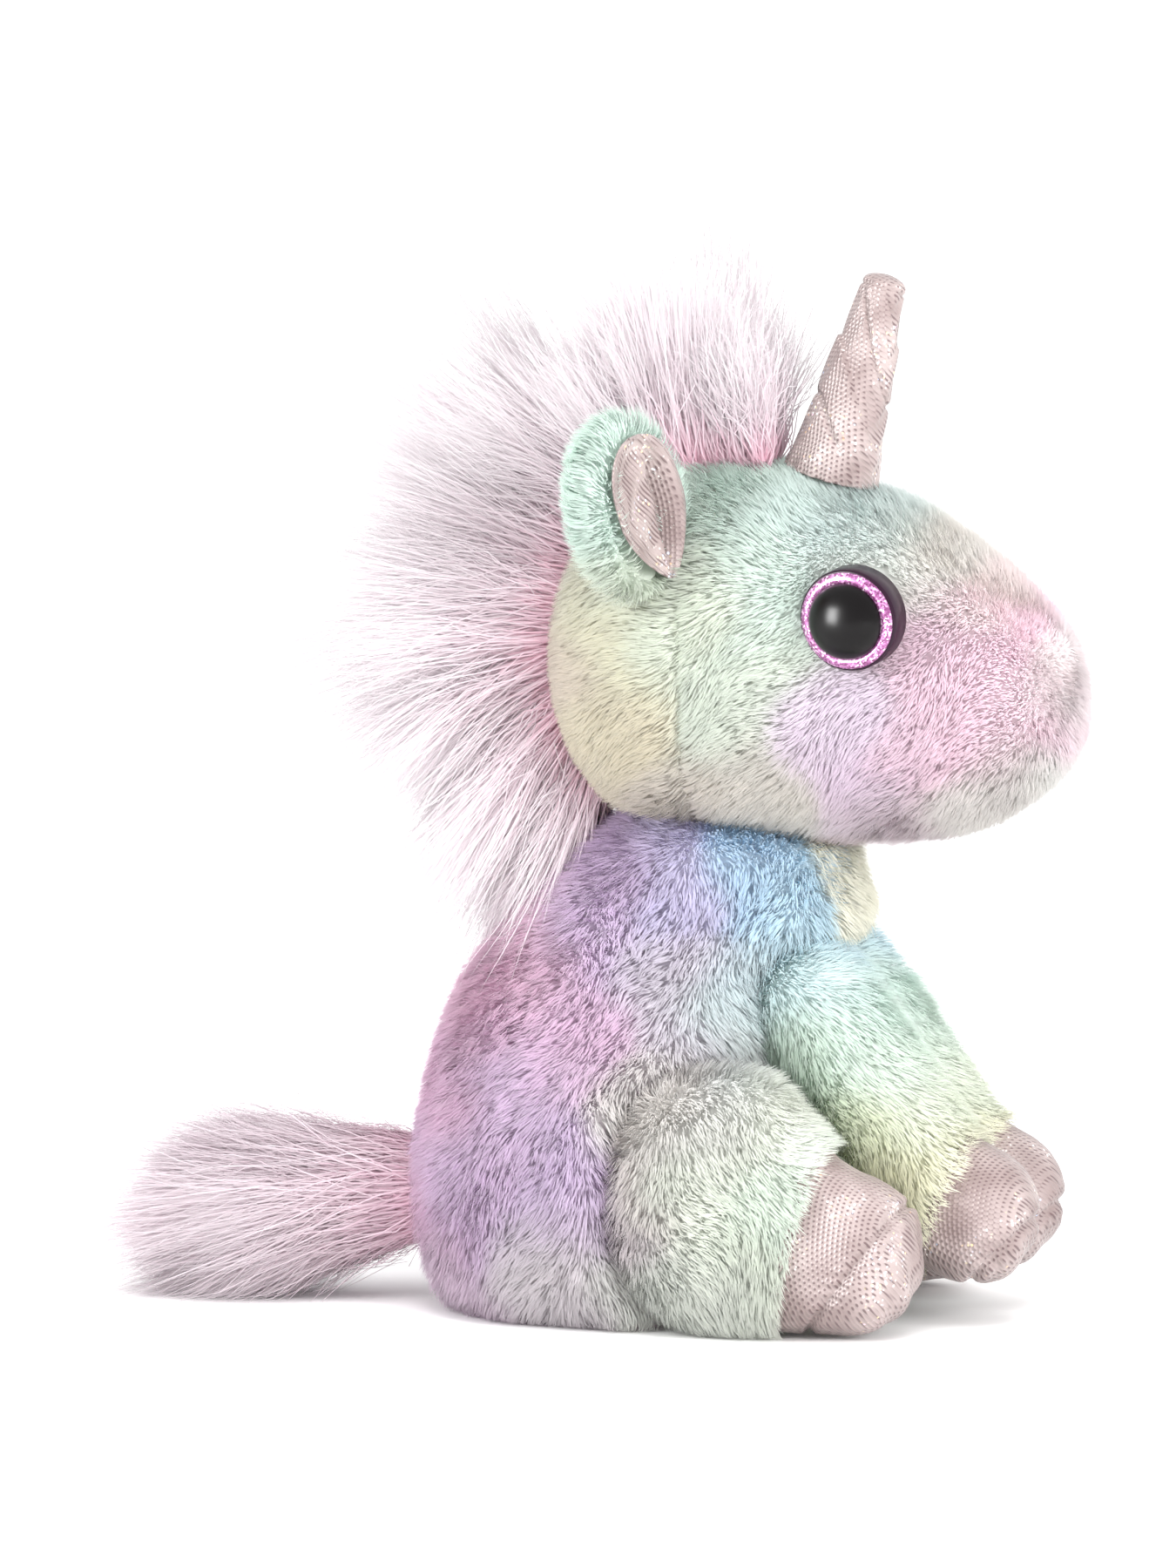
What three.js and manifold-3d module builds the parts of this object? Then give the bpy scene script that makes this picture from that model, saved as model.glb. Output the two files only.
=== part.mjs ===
// Seated plush unicorn, built as sewn covers, stuffing and trim.
// Millimetres, +Z up, the face looks along -Y, the unicorn's own left is +X.
// "fwd" below always means distance ahead of the origin, so Y = -fwd.
import * as THREE from 'three';
import { mergeVertices } from 'three/addons/utils/BufferGeometryUtils.js';
import Module from 'manifold-3d';

const wasm = await Module();
wasm.setup();

// ---- driving dimensions (mm) ----
const WALL = 1.5;              // fur fabric backing with its seam allowance
const GAP = 0.3;               // clearance between neighbouring pieces
const NECK_CENTRE_FWD = 15.4;  // centre of the ball-shaped neck top
const NECK_CENTRE_Z = 79.4;
const NECK_RADIUS = 45;
const NECK_PLUG_RADIUS = 14.5;
const NECK_PLUG_BOTTOM_Z = 100;
const SHOULDER_FWD = 37;
const SHOULDER_Z = 78;
const SHOULDER_RADIUS = 14.5;
const FRONT_LEG_X = 15.6;
const FRONT_LEG_HALF_WIDTH = 14.1;
const FRONT_HOOF_AT = 72.3;    // fwd of the front hoof's sewn edge
const HIP_FWD = 26;
const HIP_Z = 32;
const HIP_RADIUS = 31.7;
const HIND_LEG_INNER_X = 31;
const HIND_LEG_OUTER_X = 60;
const HIND_HOOF_AT = 43;       // fwd of the hind hoof's sewn edge
const EYE_FWD = 54.2;
const EYE_Z = 171;
const EYE_BACK_X = 38.2;
const EYE_RADIUS = 12.2;
const PUPIL_RADIUS = 9.3;
const HORN_FWD = 41;
const HORN_Z = 200.6;
const HORN_LENGTH = 50.5;
const HORN_BASE_RADIUS = 11.4;
const HORN_TIP_RADIUS = 4.6;
const HORN_LEAN_DEG = 15.4;
const EAR_SPREAD_X = 47;
const EAR_FWD = 1;
const EAR_Z = 197;
const TAIL_PIVOT_FWD = -64.5;
const TAIL_Z = 26;

const SIDES = [['right', -1], ['left', 1]];

// ---- outlines: every row is one slice of the sewn shape ----
// body slices from the floor up: height, rear fwd, front fwd, half width
const BODY_SLICES = [
  [0, -44, 20, 37], [3, -50, 25, 43.5], [9, -54, 28, 47.5], [20, -56, 29, 50], [36, -56.5, 29, 50],
  [52, -54.5, 27, 48], [64, -51.5, 27, 45.5], [76, -46.5, 36, 42], [85, -40.5, 44, 39],
  [93, -34, 46.5, 36], [100, -28, 47, 33.5], [107, -21, 46.3, 31.5], [113, -14.8, 45.6, 30.2],
  [116.5, -9.9, 40.7, 25.3], [120, -4.4, 35.2, 19.8], [122.8, 3.6, 27.2, 11.8],
];
// head slices from the back of the skull to the nose: fwd, bottom z, top z, half width
const HEAD_SLICES = [
  [-22, 149, 167, 9], [-20.5, 142, 174, 20], [-16, 131, 184.5, 30.5], [-8, 121.5, 194, 38],
  [3, 117.5, 200.5, 42.5], [16, 116, 202.5, 44.5], [30, 115.5, 201, 44], [45, 115, 196.6, 41.8],
  [58, 115.5, 190.3, 38.6], [70, 116.8, 183, 35.6], [81, 119.5, 175.3, 32], [89.5, 124, 167.5, 27.5],
  [95.5, 130, 160, 20.5], [98.6, 137, 153, 10.5],
];
// hind leg slices from the buttock to the hoof tip: fwd, bottom z, top z, share of full width
const HIND_LEG_SLICES = [
  [-4.5, 22, 42, 0.45], [-1, 15.8, 48.2, 0.75], [6, 7.5, 56.5, 0.92], [15, 2.4, 61.6, 1], [25, 0.4, 63.6, 1],
  [34, 0.4, 62, 1], [43, 0.4, 53, 1], [50, 0.4, 44.5, 1], [57, 0.4, 40.5, 1], [64, 2.2, 37.8, 0.93],
  [68.5, 6.5, 33.5, 0.75], [71, 12, 27, 0.45],
];
// front leg slices from the shoulder to the hoof tip: fwd, z, axis angle below level, radius
const FRONT_LEG_SLICES = [
  [28.2, 87.7, 48, 5.2], [30.6, 85.1, 48, 10.2], [33.6, 81.8, 48, 13.4], [37, 78, 48, 14.5],
  [46, 67.2, 50, 14.6], [53.8, 55, 54, 14.7], [60.6, 44, 51, 15.2], [66.4, 35, 40, 16.2], [72.8, 29.2, 26, 17.2],
  [79.6, 26, 22, 17.4], [86.1, 23.4, 20, 15.8], [90.6, 21.7, 20, 11.8], [93.2, 20.8, 20, 6],
];
// mane slices along the crest: fwd, z, half height, half thickness
const MANE_SLICES = [
  [25, 207, 3, 2.5], [18, 211, 9, 5.5], [4, 212, 14.5, 7], [-11, 207, 18, 8], [-23, 197.5, 20, 8.5],
  [-32, 184, 21, 8.5], [-37, 168, 21.5, 8.5], [-38, 152, 20.5, 8], [-35, 139, 16, 6.5], [-31, 129.5, 7, 3],
];
const MANE_CENTRE_FWD = 5;
const MANE_CENTRE_Z = 160;
// tail slices from the sewn root to the ragged tip: distance behind the pivot, rise, radius
const TAIL_SLICES = [
  [-5.9, 0, 3.8], [-3.2, 0, 6.6], [0, 0, 7.4], [7, 0, 12], [15, 0.5, 16.4], [27, 1, 17.6], [42, 1, 17.8],
  [56, 0, 17], [67, -2, 13.4], [74, -3.5, 7],
];

// ---- turning geometry into solids and back ----
function toSolid(geometry) {
  const plain = geometry.clone();
  plain.deleteAttribute('normal');
  plain.deleteAttribute('uv');
  const welded = mergeVertices(plain, 1e-4);
  const corners = Array.from(welded.index.array);
  const points = welded.attributes.position;
  let volume = 0;
  const a = new THREE.Vector3();
  const b = new THREE.Vector3();
  const c = new THREE.Vector3();
  for (let i = 0; i < corners.length; i += 3) {
    a.fromBufferAttribute(points, corners[i]);
    b.fromBufferAttribute(points, corners[i + 1]);
    c.fromBufferAttribute(points, corners[i + 2]);
    volume += a.dot(b.cross(c));
  }
  if (volume < 0) {
    for (let i = 0; i < corners.length; i += 3) {
      [corners[i], corners[i + 1]] = [corners[i + 1], corners[i]];
    }
  }
  return new wasm.Manifold(new wasm.Mesh({
    numProp: 3,
    vertProperties: new Float32Array(points.array),
    triVerts: new Uint32Array(corners),
  }));
}

function toGeometry(solid) {
  const mesh = solid.getMesh();
  const geometry = new THREE.BufferGeometry();
  geometry.setAttribute('position', new THREE.BufferAttribute(new Float32Array(mesh.vertProperties), 3));
  geometry.setIndex(new THREE.BufferAttribute(new Uint32Array(mesh.triVerts), 1));
  geometry.computeVertexNormals();
  return geometry;
}

const place = (fwd, x, z) => new THREE.Vector3(x, -fwd, z);
const roundTo = (value, power) => Math.sign(value) * Math.abs(value) ** power;

// A closed skin through rings; a ring is {centre, across, up, halfAcross, halfUp}.
function skinThrough(rings, segments, squareness = 2) {
  const positions = [];
  const triangles = [];
  for (const ring of rings) {
    for (let k = 0; k < segments; k += 1) {
      const angle = (2 * Math.PI * k) / segments;
      const point = ring.centre.clone();
      point.addScaledVector(ring.across, ring.halfAcross * roundTo(Math.cos(angle), 2 / squareness));
      point.addScaledVector(ring.up, ring.halfUp * roundTo(Math.sin(angle), 2 / squareness));
      positions.push(point.x, point.y, point.z);
    }
  }
  for (let row = 0; row < rings.length - 1; row += 1) {
    for (let k = 0; k < segments; k += 1) {
      const next = (k + 1) % segments;
      const low = row * segments;
      const high = low + segments;
      triangles.push(low + k, low + next, high + next, low + k, high + next, high + k);
    }
  }
  const first = positions.length / 3;
  const last = first + 1;
  const ends = [rings[0].centre, rings[rings.length - 1].centre];
  ends.forEach((centre) => positions.push(centre.x, centre.y, centre.z));
  const top = (rings.length - 1) * segments;
  for (let k = 0; k < segments; k += 1) {
    const next = (k + 1) % segments;
    triangles.push(first, next, k, last, top + k, top + next);
  }
  const geometry = new THREE.BufferGeometry();
  geometry.setAttribute('position', new THREE.Float32BufferAttribute(positions, 3));
  geometry.setIndex(triangles);
  return toSolid(geometry);
}

const AXIS_X = new THREE.Vector3(1, 0, 0);
const AXIS_Y = new THREE.Vector3(0, 1, 0);
const AXIS_Z = new THREE.Vector3(0, 0, 1);

// Squeezes a list of positions towards their middle so an inset shape keeps its rounded ends.
function squeeze(values, inset) {
  const low = Math.min(...values);
  const high = Math.max(...values);
  const middle = (low + high) / 2;
  const scale = (high - low - 2 * inset) / (high - low);
  return values.map((value) => middle + (value - middle) * scale);
}

function bodyShape(inset, segments) {
  const heights = squeeze(BODY_SLICES.map((row) => row[0]), inset);
  const rings = BODY_SLICES.map(([, rear, front, halfWidth], i) => ({
    centre: place((rear + front) / 2, 0, heights[i]),
    across: AXIS_X,
    up: AXIS_Y,
    halfAcross: halfWidth - inset,
    halfUp: (front - rear) / 2 - inset,
  }));
  return skinThrough(rings, segments, 2.15);
}

function headShape(inset, segments) {
  const fwds = squeeze(HEAD_SLICES.map((row) => row[0]), inset);
  const rings = HEAD_SLICES.map(([, bottom, top, halfWidth], i) => ({
    centre: place(fwds[i], 0, (bottom + top) / 2),
    across: AXIS_X,
    up: AXIS_Z,
    halfAcross: halfWidth - inset,
    halfUp: (top - bottom) / 2 - inset,
  }));
  return skinThrough(rings, segments, 2.25);
}

function hindLegShape(side, inset, segments) {
  const fwds = squeeze(HIND_LEG_SLICES.map((row) => row[0]), inset);
  const fullHalf = (HIND_LEG_OUTER_X - HIND_LEG_INNER_X) / 2;
  const rings = HIND_LEG_SLICES.map(([, bottom, top, share], i) => ({
    centre: place(fwds[i], side * (HIND_LEG_INNER_X + fullHalf * share), (bottom + top) / 2),
    across: AXIS_X,
    up: AXIS_Z,
    halfAcross: fullHalf * share - inset,
    halfUp: (top - bottom) / 2 - inset,
  }));
  return skinThrough(rings, segments, 2.5);
}

function frontLegShape(side, inset, segments) {
  const rings = FRONT_LEG_SLICES.map(([fwd, z, below, radius], i) => {
    const angle = THREE.MathUtils.degToRad(below);
    const along = place(Math.cos(angle), 0, -Math.sin(angle));
    const endShift = inset * (1 - (2 * i) / (FRONT_LEG_SLICES.length - 1));
    const halfWidth = FRONT_LEG_HALF_WIDTH * Math.min(1, radius / SHOULDER_RADIUS);
    return {
      centre: place(fwd, side * FRONT_LEG_X, z).addScaledVector(along, endShift),
      across: AXIS_X,
      up: AXIS_X.clone().cross(along),
      halfAcross: halfWidth - inset,
      halfUp: radius - inset,
    };
  });
  return skinThrough(rings, segments, 2.1);
}

function spindle(profile, from, along, segments) {
  const geometry = new THREE.LatheGeometry(profile.map(([r, s]) => new THREE.Vector2(r, s)), segments);
  const turn = new THREE.Quaternion().setFromUnitVectors(AXIS_Y, along);
  geometry.applyQuaternion(turn);
  geometry.translate(from.x, from.y, from.z);
  return toSolid(geometry);
}

// A straight round bar from one place along a direction.
function bar(radius, from, along, start, end, segments) {
  return spindle([[0, start], [radius, start], [radius, end], [0, end]], from, along, segments);
}

function ball(radius, centre, segments) {
  const geometry = new THREE.SphereGeometry(radius, segments, Math.round(segments * 0.6));
  geometry.translate(centre.x, centre.y, centre.z);
  return toSolid(geometry);
}

function block(from, to) {
  const size = to.clone().sub(from);
  const geometry = new THREE.BoxGeometry(Math.abs(size.x), Math.abs(size.y), Math.abs(size.z));
  const middle = from.clone().add(to).multiplyScalar(0.5);
  geometry.translate(middle.x, middle.y, middle.z);
  return toSolid(geometry);
}

// Everything ahead of a tilted cut: used to part each leg from its hoof.
function aheadOf(fwd, x, z, tiltDeg) {
  const angle = THREE.MathUtils.degToRad(tiltDeg);
  const along = place(Math.cos(angle), 0, -Math.sin(angle));
  return bar(60, place(fwd, x, z), along, 0, 90, 8);
}

// ---- colours for the plain part model ----
const furMint = { color: 0xd6e6da, roughness: 0.95, metalness: 0 };
const furLilac = { color: 0xcdb8d2, roughness: 0.95, metalness: 0 };
const hairPink = { color: 0xe6ccd6, roughness: 0.9, metalness: 0 };
const foilFabric = { color: 0xd8c6c2, roughness: 0.4, metalness: 0.3 };
const fibreFill = { color: 0xf4f2ee, roughness: 1, metalness: 0 };
const blackPlastic = { color: 0x120b10, roughness: 0.15, metalness: 0 };
const foilRing = { color: 0xa45f80, roughness: 0.3, metalness: 0.5 };
const washerPlastic = { color: 0xe8e8e4, roughness: 0.5, metalness: 0 };

const group = new THREE.Group();
group.name = 'plush_unicorn';

function addPiece(name, solid, look) {
  const mesh = new THREE.Mesh(toGeometry(solid), new THREE.MeshStandardMaterial(look));
  mesh.name = name;
  group.add(mesh);
}

// The room the round hips need in the body's flanks, widened by a margin.
function hipRoom(side, margin) {
  const inner = HIND_LEG_INNER_X - 0.6 - margin;
  const radius = HIP_RADIUS + 0.9 + margin;
  const outward = AXIS_X.clone().multiplyScalar(side);
  const round = bar(radius, place(HIP_FWD, 0, HIP_Z), outward, inner, 80, 24);
  return round.add(block(place(HIP_FWD, side * inner, -5), place(80, side * 80, HIP_Z + radius)));
}

// The same for the two shoulders, which share one hollow.
function shoulderRoom(margin) {
  const radius = SHOULDER_RADIUS + 1 + margin;
  const half = 30.6 + margin;
  return bar(radius, place(SHOULDER_FWD, 0, SHOULDER_Z), AXIS_X, -half, half, 24);
}

// ---- body: cover, stuffing, and the plug that fills the neck opening ----
const neckCentre = place(NECK_CENTRE_FWD, 0, NECK_CENTRE_Z);
const plugBottom = NECK_PLUG_BOTTOM_Z - NECK_CENTRE_Z;
const plugHole = bar(NECK_PLUG_RADIUS + 0.4, neckCentre, AXIS_Z, plugBottom - 0.4, 60, 20);
function hollowed(shape, margin) {
  return shape.subtract(hipRoom(-1, margin)).subtract(hipRoom(1, margin)).subtract(shoulderRoom(margin));
}
const bodyOuter = hollowed(bodyShape(0, 22), 0);
const bodyInside = hollowed(bodyShape(WALL, 16), WALL);
const plugSeat = bar(NECK_PLUG_RADIUS + 0.4, neckCentre, AXIS_Z, plugBottom - 0.8, 60, 20);
const bodyFill = hollowed(bodyShape(WALL + GAP, 16), WALL + GAP).subtract(plugSeat);
addPiece('body_cover', bodyOuter.subtract(bodyInside).subtract(plugHole), furLilac);
addPiece('body_stuffing', bodyFill, fibreFill);

const plugTop = Math.sqrt(NECK_RADIUS ** 2 - NECK_PLUG_RADIUS ** 2);
const plugProfile = [[0, plugBottom], [NECK_PLUG_RADIUS, plugBottom], [NECK_PLUG_RADIUS, plugTop]];
for (const share of [0.75, 0.5, 0.25]) {
  const r = NECK_PLUG_RADIUS * share;
  plugProfile.push([r, Math.sqrt(NECK_RADIUS ** 2 - r ** 2)]);
}
plugProfile.push([0, NECK_RADIUS]);
addPiece('neck_stuffing', spindle(plugProfile, neckCentre, AXIS_Z, 20), fibreFill);

// ---- head: cover and stuffing, hollowed to sit on the ball of the neck ----
const neckSocket = ball(NECK_RADIUS + 1.3, neckCentre, 28);
const eyePockets = SIDES.map(([, side]) => {
  const outward = AXIS_X.clone().multiplyScalar(side);
  const eye = place(EYE_FWD, 0, EYE_Z);
  const pocket = bar(EYE_RADIUS + GAP, eye, outward, EYE_BACK_X - GAP, 70, 20);
  const shankHole = bar(2.9 + GAP, eye, outward, EYE_BACK_X - 15, 70, 10);
  const washerSpace = bar(6.8 + GAP, eye, outward, EYE_BACK_X - 13.2, EYE_BACK_X - 8.2, 14);
  return { pocket, shankHole, washerSpace };
});
let headOuter = headShape(0, 24).subtract(neckSocket);
let headFill = headShape(WALL + GAP, 16).subtract(neckSocket);
for (const { pocket, shankHole, washerSpace } of eyePockets) {
  headOuter = headOuter.subtract(pocket).subtract(shankHole);
  headFill = headFill.subtract(pocket).subtract(shankHole).subtract(washerSpace);
}
addPiece('head_cover', headOuter.subtract(headShape(WALL, 16)), furMint);
addPiece('head_stuffing', headFill, fibreFill);

// ---- eyes: black rim with its shank, foil ring, glossy dome, lock washer ----
for (const [sideName, side] of SIDES) {
  const outward = AXIS_X.clone().multiplyScalar(side);
  const eye = place(EYE_FWD, 0, EYE_Z);
  const front = EYE_BACK_X + 5.2;
  const rimProfile = [
    [0, EYE_BACK_X - 14.2], [2.6, EYE_BACK_X - 14.2], [2.9, EYE_BACK_X - 13], [2.9, EYE_BACK_X],
    [EYE_RADIUS - 0.6, EYE_BACK_X], [EYE_RADIUS, EYE_BACK_X + 0.8], [EYE_RADIUS, front - 0.6],
    [EYE_RADIUS - 0.5, front], [0, front],
  ];
  addPiece(`eye_rim_${sideName}`, spindle(rimProfile, eye, outward, 20), blackPlastic);
  const ringProfile = [
    [PUPIL_RADIUS + 0.25, front + 0.1], [EYE_RADIUS - 0.4, front + 0.1], [EYE_RADIUS - 0.6, front + 0.6],
    [PUPIL_RADIUS + 0.25, front + 1.3], [PUPIL_RADIUS + 0.25, front + 0.1],
  ];
  addPiece(`eye_ring_${sideName}`, spindle(ringProfile, eye, outward, 20), foilRing);
  const domeProfile = [[0, front + 0.1], [PUPIL_RADIUS, front + 0.1]];
  for (const turn of [18, 40, 62, 78]) {
    const angle = THREE.MathUtils.degToRad(turn);
    domeProfile.push([PUPIL_RADIUS * Math.cos(angle), front + 0.1 + 5.4 * Math.sin(angle)]);
  }
  domeProfile.push([0, front + 5.5]);
  addPiece(`eye_dome_${sideName}`, spindle(domeProfile, eye, outward, 20), blackPlastic);
  const washerProfile = [
    [3.2, EYE_BACK_X - 12.8], [6.8, EYE_BACK_X - 12.8], [6.8, EYE_BACK_X - 11.6],
    [5.2, EYE_BACK_X - 8.8], [3.2, EYE_BACK_X - 8.8], [3.2, EYE_BACK_X - 12.8],
  ];
  addPiece(`eye_washer_${sideName}`, spindle(washerProfile, eye, outward, 12), washerPlastic);
}

// ---- horn: foil cone over its own stuffing ----
const hornLean = THREE.MathUtils.degToRad(HORN_LEAN_DEG);
const hornAlong = place(Math.sin(hornLean), 0, Math.cos(hornLean));
const hornBase = place(HORN_FWD, 0, HORN_Z);
function hornProfile(inset) {
  const base = HORN_BASE_RADIUS - inset;
  const tip = HORN_TIP_RADIUS - inset;
  const end = HORN_LENGTH - inset;
  const points = [[0, 0], [base, 0]];
  for (const share of [0.33, 0.66, 0.94]) {
    points.push([base + (tip - base) * share, end * share]);
  }
  points.push([tip * 0.72, end - tip * 0.22], [tip * 0.36, end - tip * 0.05], [0, end]);
  return points;
}
const hornInside = spindle(hornProfile(1.1), hornBase, hornAlong, 12);
const hornMouth = bar(HORN_BASE_RADIUS - 1.1, hornBase, hornAlong, -1, 0.3, 12);
const hornOuter = spindle(hornProfile(0), hornBase, hornAlong, 18);
addPiece('horn_cover', hornOuter.subtract(hornInside).subtract(hornMouth), foilFabric);
addPiece('horn_stuffing', spindle(hornProfile(1.1 + GAP), hornBase, hornAlong, 12), fibreFill);

// ---- ears: furry back with a foil lining set into its front ----
function leaf(centre, axes, halfSizes, segments) {
  const geometry = new THREE.SphereGeometry(1, segments, Math.round(segments * 0.55));
  geometry.scale(halfSizes[0], halfSizes[1], halfSizes[2]);
  geometry.applyMatrix4(new THREE.Matrix4().makeBasis(axes.out, axes.front, axes.up));
  geometry.translate(centre.x, centre.y, centre.z);
  return toSolid(geometry);
}
const headClear = headShape(-2.2, 24);
for (const [sideName, side] of SIDES) {
  const up = place(-0.14, side * 0.3, 0.94).normalize();
  const out = place(-0.4, side * 0.9, 0);
  out.addScaledVector(up, -out.dot(up)).normalize();
  const front = up.clone().cross(out).multiplyScalar(-side).normalize();
  if (front.y > 0) {
    front.multiplyScalar(-1);
  }
  const axes = { out, front, up };
  const centre = place(EAR_FWD, side * EAR_SPREAD_X, EAR_Z);
  const shell = leaf(centre, axes, [16, 7.5, 21], 16).subtract(headClear);
  const scoopCentre = centre.clone().addScaledVector(front, 5.4).addScaledVector(up, -0.5);
  const scoop = leaf(scoopCentre, axes, [12.6, 7, 18], 14);
  const liningCentre = scoopCentre.clone().addScaledVector(front, 1);
  const lining = leaf(scoopCentre, axes, [12.3, 6.7, 17.7], 14)
    .subtract(leaf(liningCentre, axes, [11.2, 6.2, 16.6], 12))
    .intersect(leaf(centre, axes, [16, 7.5, 21], 16))
    .subtract(headClear);
  addPiece(`ear_back_${sideName}`, shell.subtract(scoop), furMint);
  addPiece(`ear_lining_${sideName}`, lining, foilFabric);
}

// ---- mane: one crest of long hair along the middle of the crown and the back of the head ----
const maneRings = MANE_SLICES.map(([fwd, z, halfHeight, halfThick]) => {
  const outwards = place(fwd - MANE_CENTRE_FWD, 0, z - MANE_CENTRE_Z).normalize();
  return {
    centre: place(fwd, 0, z),
    across: AXIS_X,
    up: outwards,
    halfAcross: halfThick,
    halfUp: halfHeight,
  };
});
addPiece('mane_hair', skinThrough(maneRings, 10).subtract(headShape(-0.5, 24)), hairPink);

// ---- tail: a sewn root stub and the long hair around it ----
const tailPivot = place(TAIL_PIVOT_FWD, 0, TAIL_Z);
const backwards = place(-1, 0, 0);
const tailRings = TAIL_SLICES.map(([behind, rise, radius]) => ({
  centre: place(TAIL_PIVOT_FWD - behind, 0, TAIL_Z + rise),
  across: AXIS_X,
  up: AXIS_Z,
  halfAcross: radius,
  halfUp: radius * 0.98,
}));
const tailMouth = spindle([[0, 0], [7.2, -7.6], [0, -7.6]], tailPivot, backwards, 12);
const tailSolid = skinThrough(tailRings, 14).subtract(ball(5.4, tailPivot, 12)).subtract(tailMouth);
const stub = ball(4.6, tailPivot, 12).add(bar(1.5, tailPivot, backwards, -6.9, 0, 10));
addPiece('tail_root', stub, hairPink);
addPiece('tail_hair', tailSolid, hairPink);

// ---- legs: fur cover, stuffing, and a foil hoof sewn over the end ----
for (const [sideName, side] of SIDES) {
  const legs = [
    ['front', frontLegShape, furMint, [FRONT_HOOF_AT, FRONT_LEG_X, 29.4, 24]],
    ['hind', hindLegShape, furLilac, [HIND_HOOF_AT, 45.5, 24, 14]],
  ];
  for (const [legName, shape, fur, [fwd, x, z, tilt]] of legs) {
    const outer = shape(side, 0, 14);
    const inside = shape(side, WALL, 10);
    const shell = outer.subtract(inside);
    const hoofSide = aheadOf(fwd + GAP, side * x, z, tilt);
    const legSide = aheadOf(fwd, side * x, z, tilt);
    addPiece(`${legName}_leg_cover_${sideName}`, shell.subtract(legSide), fur);
    addPiece(`${legName}_leg_stuffing_${sideName}`, shape(side, WALL + GAP, 10), fibreFill);
    addPiece(`${legName}_hoof_cover_${sideName}`, shell.intersect(hoofSide), foilFabric);
  }
}

export default group;
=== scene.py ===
# %% [markdown]
# # A seated plush unicorn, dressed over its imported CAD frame
# The CAD gives every sewn piece its place. This script makes the cloth, pile, hair and eyes that are
# seen: skins puffed from the stuffing solids, short pile and long hair grown as fine strips, foil-dot
# fabric on horn, ears and hooves, and moulded eyes. Everything is in metres, the face looks along -Y.

# %% Setup
import math
import bpy
import numpy as np
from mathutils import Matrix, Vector
from mathutils.bvhtree import BVHTree
from mathutils.kdtree import KDTree


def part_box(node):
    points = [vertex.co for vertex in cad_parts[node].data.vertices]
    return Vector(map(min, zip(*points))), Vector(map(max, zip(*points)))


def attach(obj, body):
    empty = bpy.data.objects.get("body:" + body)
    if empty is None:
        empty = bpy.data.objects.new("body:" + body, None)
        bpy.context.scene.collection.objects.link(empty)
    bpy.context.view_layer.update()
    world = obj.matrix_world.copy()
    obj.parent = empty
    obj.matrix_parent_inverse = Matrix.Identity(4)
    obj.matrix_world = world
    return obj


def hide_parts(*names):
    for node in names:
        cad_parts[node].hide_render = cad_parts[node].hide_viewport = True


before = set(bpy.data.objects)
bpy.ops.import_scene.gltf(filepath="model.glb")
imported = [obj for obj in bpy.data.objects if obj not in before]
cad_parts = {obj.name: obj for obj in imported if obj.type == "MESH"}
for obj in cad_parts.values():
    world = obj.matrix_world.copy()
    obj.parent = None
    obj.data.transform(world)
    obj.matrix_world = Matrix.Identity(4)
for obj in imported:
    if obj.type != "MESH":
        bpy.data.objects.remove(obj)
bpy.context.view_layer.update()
MM = 0.001

# %% [markdown]
# ## Camera
# A long lens at table height, on the toy's right side and a little to the front. It stands far
# away, so the toy's own proportions stay true and both near legs are seen.

# %% Camera
CAMERA_TURN = math.radians(282)
CAMERA_RISE = math.radians(7)
CAMERA_AWAY = 6.0
back = Vector((math.sin(CAMERA_TURN) * math.cos(CAMERA_RISE),
               -math.cos(CAMERA_TURN) * math.cos(CAMERA_RISE), math.sin(CAMERA_RISE)))
right = Vector((math.cos(CAMERA_TURN), math.sin(CAMERA_TURN), 0))
up = back.cross(right)
aim = right * -0.0177 + up * 0.1244
camera_data = bpy.data.cameras.new("camera")
camera_data.lens = 577
camera = bpy.data.objects.new("camera", camera_data)
camera.location = aim + back * CAMERA_AWAY
camera.rotation_euler = back.to_track_quat("Z", "Y").to_euler()
bpy.context.scene.collection.objects.link(camera)
bpy.context.scene.camera = camera
print("camera at", [round(v, 3) for v in camera.location])


# %% [markdown]
# ## Small helpers
# One function turns an sRGB hex value linear, one adds a shader node with its settings and links,
# and one makes an object from plain arrays. Every material and piece below uses them.

# %% Helpers
def linear(hex_value):
    values = [int(hex_value[i:i + 2], 16) / 255 for i in (1, 3, 5)]
    return [v / 12.92 if v <= 0.04045 else ((v + 0.055) / 1.055) ** 2.4 for v in values]


def node(tree, kind, inputs=None, **settings):
    made = tree.nodes.new(kind)
    for key, value in settings.items():
        setattr(made, key, value)
    for socket, value in (inputs or {}).items():
        if isinstance(value, bpy.types.NodeSocket):
            tree.links.new(value, made.inputs[socket])
        else:
            made.inputs[socket].default_value = value
    return made


def material(name):
    made = bpy.data.materials.new(name)
    made.use_nodes = True
    made.node_tree.nodes.clear()
    return made, made.node_tree


def surface(tree, **inputs):
    named = {key.replace("_", " "): value for key, value in inputs.items()}
    shader = node(tree, "ShaderNodeBsdfPrincipled", named)
    node(tree, "ShaderNodeOutputMaterial", {"Surface": shader.outputs[0]})
    return shader


def rgba(hex_value):
    return (*linear(hex_value), 1.0)


def ramp(tree, factor, stops):
    made = node(tree, "ShaderNodeValToRGB", {"Fac": factor})
    made.color_ramp.elements[1].position = stops[-1][0]
    made.color_ramp.elements[1].color = rgba(stops[-1][1])
    made.color_ramp.elements[0].position = stops[0][0]
    made.color_ramp.elements[0].color = rgba(stops[0][1])
    for place, colour in stops[1:-1]:
        made.color_ramp.elements.new(place).color = rgba(colour)
    return made


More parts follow.
